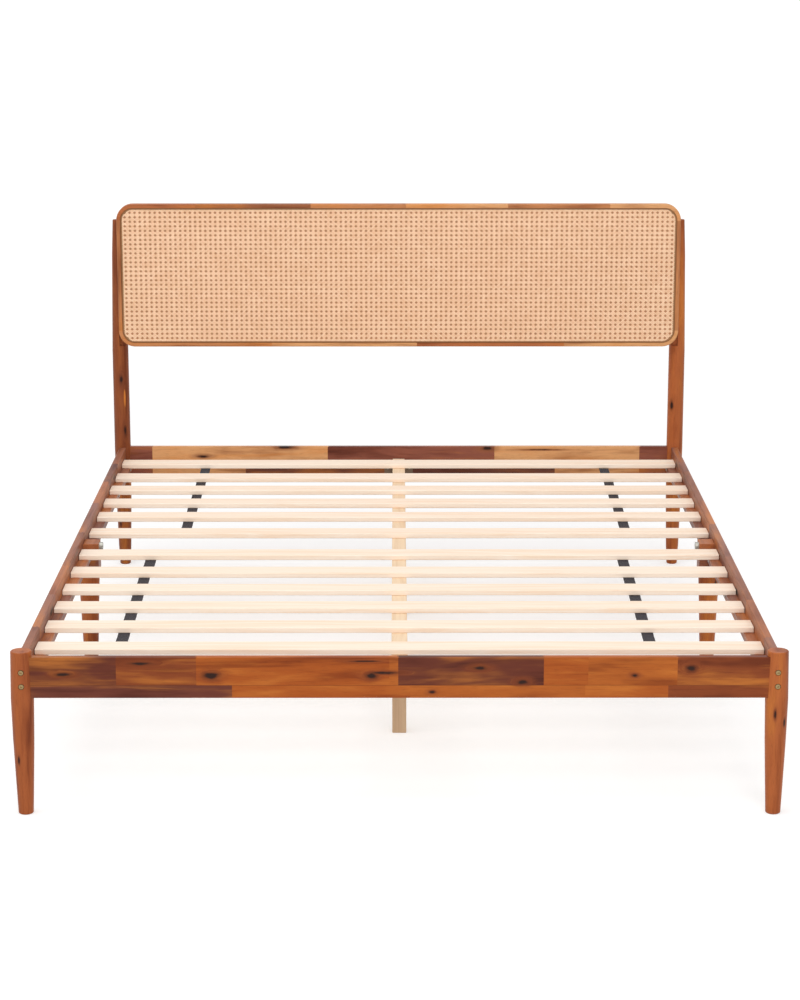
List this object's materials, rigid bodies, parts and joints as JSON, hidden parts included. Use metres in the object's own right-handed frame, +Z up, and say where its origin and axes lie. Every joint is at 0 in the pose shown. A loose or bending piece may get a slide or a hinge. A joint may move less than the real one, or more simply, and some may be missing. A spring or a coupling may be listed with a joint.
{
  "type": "bed frame",
  "caption": "Queen bed frame with turned tapered legs, a rounded cane headboard panel between posts, and loose slat mats on ledges and a centre beam.",
  "frame": {"origin": "on the floor, midway between the four corner legs", "axes": "+X across the bed to the right as seen from the foot, +Y from the foot to the head, +Z up"},
  "size_m": [1.6016, 2.1064, 1.026],
  "materials": {
    "acacia": "finger-jointed acacia under a satin orange-brown varnish",
    "pine": "planed bare pine",
    "cane": "woven natural cane, satin",
    "spline_cane": "reed spline, satin",
    "board": "thin board, stained",
    "webbing": "woven dark grey webbing",
    "sheet_steel": "zinc-plated sheet",
    "zinc_steel": "zinc-plated",
    "bolt_brass": "brushed, brass-plated"
  },
  "bodies": {
    "root": {"barrel_nuts": "zinc_steel", "beam_hanger_foot": "sheet_steel", "beam_hanger_head": "sheet_steel", "bed_bolts": "bolt_brass", "block_bolts": "zinc_steel", "block_inserts": "zinc_steel", "cane_panel": "cane", "cane_spline": "spline_cane", "centre_beam": "pine", "centre_leg_front": "pine", "centre_leg_middle": "pine", "centre_leg_rear": "pine", "foot_leg_left": "acacia", "foot_leg_right": "acacia", "foot_rail": "acacia", "head_rail": "acacia", "headboard_post_left": "acacia", "headboard_post_right": "acacia", "ledge_left_front": "acacia", "ledge_left_rear": "acacia", "ledge_right_front": "acacia", "ledge_right_rear": "acacia", "leg_studs": "zinc_steel", "mid_leg_block_left": "acacia", "mid_leg_block_right": "acacia", "mid_leg_left": "acacia", "mid_leg_right": "acacia", "panel_board": "board", "panel_bottom_rail": "acacia", "panel_stile_left": "acacia", "panel_stile_right": "acacia", "panel_top_rail": "acacia", "side_rail_left": "acacia", "side_rail_right": "acacia"},
    "slat_mat_rear": {"slat_01": "pine", "slat_02": "pine", "slat_03": "pine", "slat_04": "pine", "slat_05": "pine", "slat_06": "pine", "strap_rear_left": "webbing", "strap_rear_right": "webbing"},
    "slat_mat_front": {"slat_07": "pine", "slat_08": "pine", "slat_09": "pine", "slat_10": "pine", "slat_11": "pine", "slat_12": "pine", "strap_front_left": "webbing", "strap_front_right": "webbing"}
  },
  "joints": [
    {"name": "slat_mat_rear_lift", "type": "slide", "parent": "root", "child": "slat_mat_rear", "axis": [0, 0, 1], "range_m": [0, 0.25]},
    {"name": "slat_mat_front_lift", "type": "slide", "parent": "root", "child": "slat_mat_front", "axis": [0, 0, 1], "range_m": [0, 0.25]}
  ]
}
